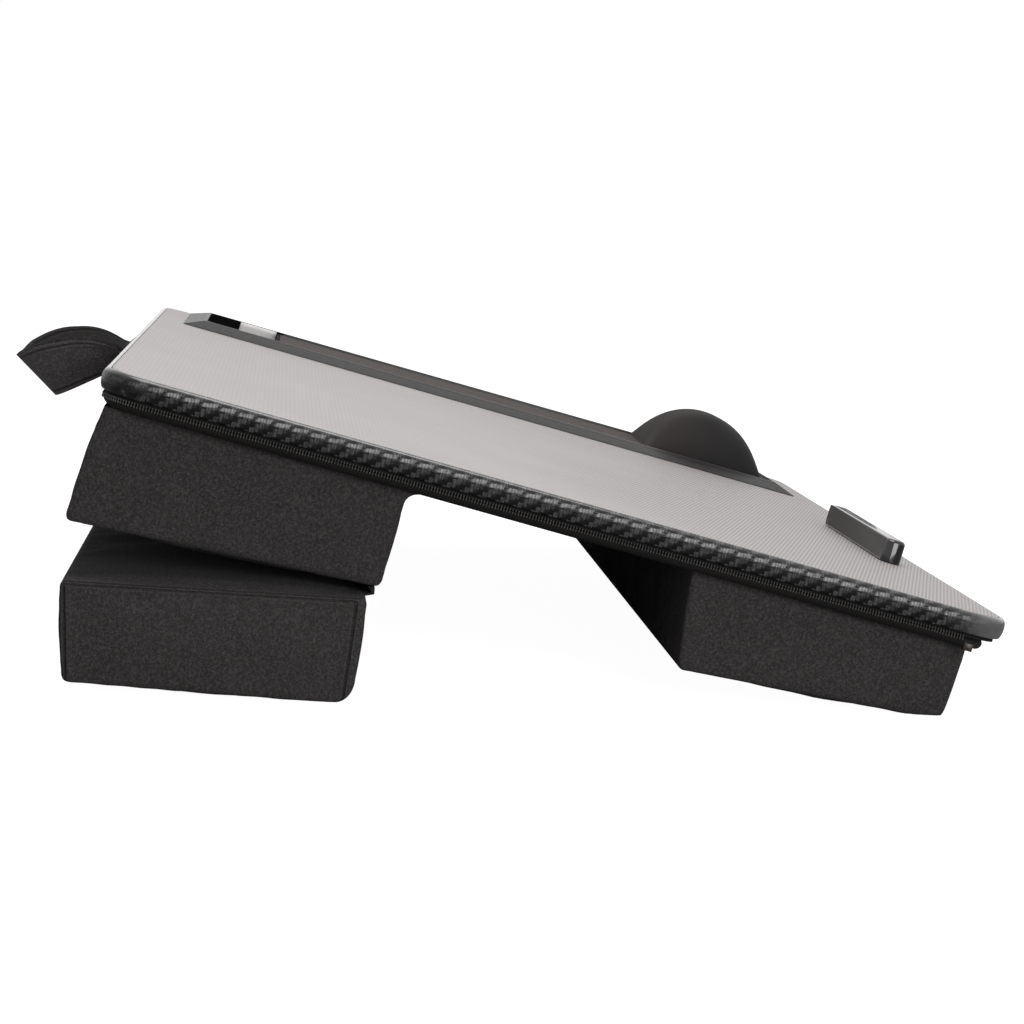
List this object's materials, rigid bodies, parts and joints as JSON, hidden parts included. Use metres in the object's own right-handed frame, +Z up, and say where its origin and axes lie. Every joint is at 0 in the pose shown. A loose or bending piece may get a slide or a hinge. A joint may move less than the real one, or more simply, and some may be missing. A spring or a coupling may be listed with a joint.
{
  "type": "lap desk",
  "caption": "Lap desk: ribbed grey board with mouse tray, wrist rest and laptop stop, zipped to a black cushion base with a fold-out riser and a carry handle.",
  "frame": {"origin": "centre of the bounding box on the surface that the desk stands on", "axes": "+X to the user's right along the long edge, +Y away from the user to the rear edge and its handle, +Z up; the board slopes up to the rear"},
  "size_m": [0.56, 0.4076, 0.1238],
  "materials": {
    "vinyl_grey": "fine-ribbed warm grey vinyl sheet",
    "carbon_black": "glossy black imitation leather embossed with a carbon twill",
    "base_fabric": "matte charcoal polyester cloth",
    "zip_black": "black zipper tape and coil",
    "zip_metal": "dark bronze enamel",
    "gloss_black": "polished black moulding",
    "grip_grey": "matte dark grey",
    "mat_cloth": "matte brown-grey jersey",
    "foam_grey": "open-cell foam, sealed inside",
    "board_wood": "raw fibreboard, sealed inside",
    "lining_black": "matte black lining cloth",
    "sticker_white": "blank white film",
    "screw_steel": "zinc plated"
  },
  "bodies": {
    "base": {"base_panel": "lining_black", "lower_tape": "zip_black", "lower_coil": "zip_black", "front_piping": "zip_black", "zip_end_clip": "zip_metal", "rear_bolster_cover": "base_fabric", "rear_bolster_foam": "foam_grey", "front_bolster_cover": "base_fabric", "front_bolster_foam": "foam_grey"},
    "board": {"top_cover": "vinyl_grey", "board_core": "board_wood", "board_lining": "lining_black", "edge_band": "carbon_black", "mouse_tray": "gloss_black", "mat_foam": "foam_grey", "mat_cloth": "mat_cloth", "wrist_rest_core": "foam_grey", "blank_sticker": "sticker_white", "stop_bar": "gloss_black", "stop_pad": "grip_grey", "stop_screw_left": "screw_steel", "stop_screw_right": "screw_steel", "upper_tape": "zip_black", "upper_coil": "zip_black"},
    "handle": {"handle_strap": "base_fabric"},
    "zip_slider": {"zip_slider": "zip_metal"},
    "riser": {"riser_cover": "base_fabric", "riser_foam": "foam_grey", "riser_hinge_tape": "base_fabric"}
  },
  "joints": [
    {"name": "riser_fold", "type": "hinge", "parent": "base", "child": "riser", "pos_m": [0, 0.04431, 0.04059], "axis": [-1, 0, 0], "range_deg": [-5, 166]},
    {"name": "board_open", "type": "hinge", "parent": "base", "child": "board", "pos_m": [0, -0.20217, 0.03015], "axis": [1, 0, 0], "range_deg": [0, 90]},
    {"name": "zip_slide", "type": "slide", "parent": "base", "child": "zip_slider", "axis": [0, 0.9718, 0.2357], "range_m": [0, 0.328]},
    {"name": "handle_swing", "type": "hinge", "parent": "board", "child": "handle", "pos_m": [0, 0.15274, 0.11792], "axis": [1, 0, 0], "range_deg": [-40, 60]}
  ]
}
